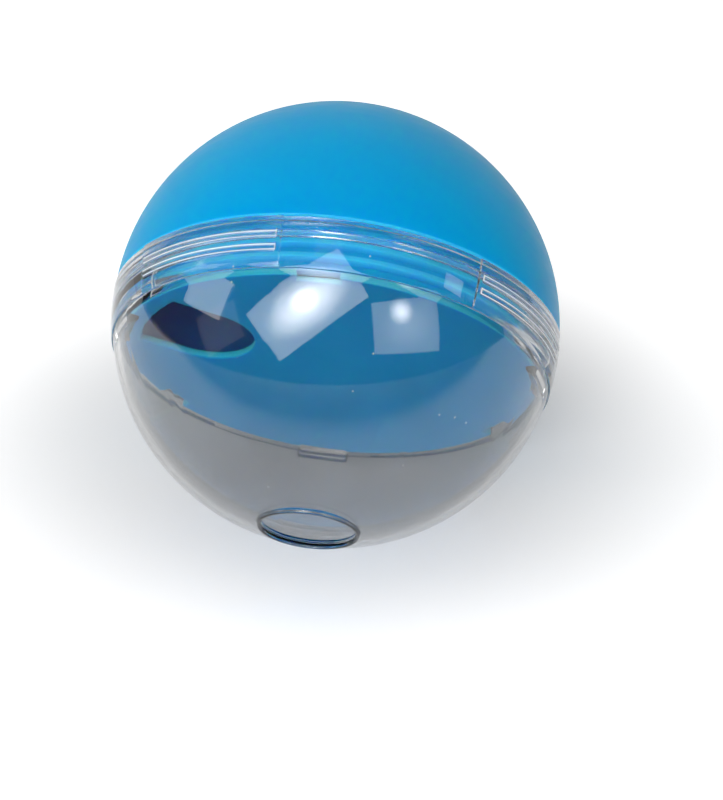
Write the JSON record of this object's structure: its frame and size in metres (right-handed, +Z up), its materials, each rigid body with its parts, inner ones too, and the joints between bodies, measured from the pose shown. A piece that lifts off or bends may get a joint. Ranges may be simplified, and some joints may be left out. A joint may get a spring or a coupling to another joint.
{
  "type": "slow feeder ball",
  "caption": "Ball-shaped slow feeder for pets: a blue dome screws into a clear bowl over a divider disc, and the filling drops out of a hole in the bowl's pole.",
  "frame": {"origin": "centre of the outlet's flat rim, on the ground that the ball stands on", "axes": "+Z up along the ball's axis from the outlet to the top of the dome, -Y towards the side seen in the picture"},
  "size_m": [0.1026, 0.1026, 0.1014],
  "materials": {
    "clear_plastic": "clear, polished, with fine scuffs",
    "disc_blue": "moulded, satin",
    "dome_blue": "moulded, satin gloss"
  },
  "bodies": {
    "bowl": {"bowl": "clear_plastic"},
    "divider_disc": {"divider_disc": "disc_blue"},
    "dome": {"dome": "dome_blue"}
  },
  "joints": [
    {"name": "twist", "type": "hinge", "parent": "bowl", "child": "divider_disc", "pos_m": [0, 0, 0.03821], "axis": [0, 0, 1], "range_deg": [0, 1080]},
    {"name": "lift", "type": "slide", "parent": "divider_disc", "child": "dome", "axis": [0, 0, 1], "range_m": [0, 0.009]}
  ],
  "couplings": [
    {"joint": "lift", "follows": "twist", "m_per_rad": 0.00047746}
  ]
}
